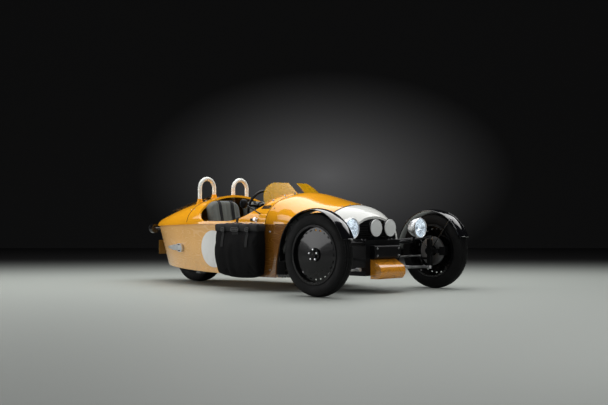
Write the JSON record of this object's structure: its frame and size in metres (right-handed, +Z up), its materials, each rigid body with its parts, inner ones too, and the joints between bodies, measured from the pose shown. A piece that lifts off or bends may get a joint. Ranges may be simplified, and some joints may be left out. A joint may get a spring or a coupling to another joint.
{
  "type": "three wheeled car",
  "caption": "Open two-seat roadster with steered wheels in front and a single driven wheel behind, domed bonnet, boat tail, roll hoops, aero screens, panniers and cycle guards.",
  "frame": {"origin": "on the floor under the middle of the length and width", "axes": "+X to the nose, +Y to the car's left, +Z up"},
  "size_m": [3.5599, 1.85, 1.132],
  "materials": {
    "body_yellow": "gloss paint",
    "nose_white": "gloss paint",
    "black_paint": "gloss black paint",
    "casting_black": "satin black coating",
    "bare_steel": "brushed",
    "chrome": "polished",
    "engine_metal": "as cast",
    "grille_black": "matt",
    "trim_black": "matt",
    "tyre_rubber": "matt rubber",
    "lamp_glass": "clear",
    "amber_screen": "tinted clear",
    "cover_white": "gloss",
    "tail_red": "gloss",
    "plate_blank": "gloss",
    "canvas_black": "coated canvas",
    "seat_grey": "water resistant trim",
    "radiator_metal": "black core"
  },
  "bodies": {
    "chassis": {"body_tub": "body_yellow", "nose_cone": "nose_white", "bonnet": "body_yellow", "cockpit_surround": "body_yellow", "tail_deck": "body_yellow", "roll_hoops": "nose_white", "front_casting": "casting_black", "bonnet_tray": "casting_black", "engine_block": "engine_metal", "grille": "grille_black", "chin_guard": "body_yellow", "side_blades": "body_yellow", "radiators": "radiator_metal", "swing_arm": "casting_black", "headlamp_bowls": "chrome", "headlamp_lenses": "lamp_glass", "spot_lamps": "black_paint", "spot_lamp_covers": "cover_white", "tail_lamps": "tail_red", "plate_holder": "plate_blank", "exhaust_outlet": "bare_steel", "luggage_rack": "black_paint", "seat_cushions": "seat_grey", "seat_backs": "seat_grey", "tunnel": "trim_black", "gear_lever": "chrome", "dashboard": "trim_black", "steering_column": "trim_black", "pedals": "bare_steel", "aero_screens": "amber_screen", "mirrors": "black_paint", "pannier_left": "canvas_black", "pannier_right": "canvas_black", "wishbones_left": "bare_steel", "wishbones_right": "bare_steel"},
    "rack": {"tie_rods": "bare_steel"},
    "steering_wheel": {"steering_wheel": "trim_black"},
    "knuckle_left": {"upright_left": "casting_black", "mudguard_left": "black_paint"},
    "knuckle_right": {"upright_right": "casting_black", "mudguard_right": "black_paint"},
    "wheel_left": {"front_tyre_left": "tyre_rubber", "front_wheel_left": "black_paint", "brake_disc_left": "bare_steel"},
    "wheel_right": {"front_tyre_right": "tyre_rubber", "front_wheel_right": "black_paint", "brake_disc_right": "bare_steel"},
    "wheel_rear": {"rear_tyre": "tyre_rubber", "rear_wheel": "black_paint"}
  },
  "joints": [
    {"name": "steer_left", "type": "hinge", "parent": "chassis", "child": "knuckle_left", "pos_m": [1.409, 0.765, 0.371], "axis": [0, 0, 1], "range_deg": [-30, 30]},
    {"name": "steer_right", "type": "hinge", "parent": "chassis", "child": "knuckle_right", "pos_m": [1.409, -0.765, 0.371], "axis": [0, 0, 1], "range_deg": [-30, 30]},
    {"name": "rack_slide", "type": "slide", "parent": "chassis", "child": "rack", "axis": [0, -1, 0], "range_m": [-0.066, 0.066]},
    {"name": "steering_wheel_turn", "type": "hinge", "parent": "chassis", "child": "steering_wheel", "pos_m": [0.059, -0.255, 0.818], "axis": [-0.9272, 0, 0.3746], "range_deg": [-360, 360]},
    {"name": "wheel_left_spin", "type": "hinge", "parent": "knuckle_left", "child": "wheel_left", "pos_m": [1.409, 0.85, 0.371], "axis": [0, 1, 0], "continuous": true},
    {"name": "wheel_right_spin", "type": "hinge", "parent": "knuckle_right", "child": "wheel_right", "pos_m": [1.409, -0.85, 0.371], "axis": [0, 1, 0], "continuous": true},
    {"name": "wheel_rear_spin", "type": "hinge", "parent": "chassis", "child": "wheel_rear", "pos_m": [-1.176, 0, 0.317], "axis": [0, 1, 0], "continuous": true}
  ],
  "couplings": [
    {"joint": "steer_right", "follows": "steer_left", "ratio": 1},
    {"joint": "rack_slide", "follows": "steer_left", "m_per_rad": 0.125},
    {"joint": "steering_wheel_turn", "follows": "steer_left", "ratio": 12}
  ]
}
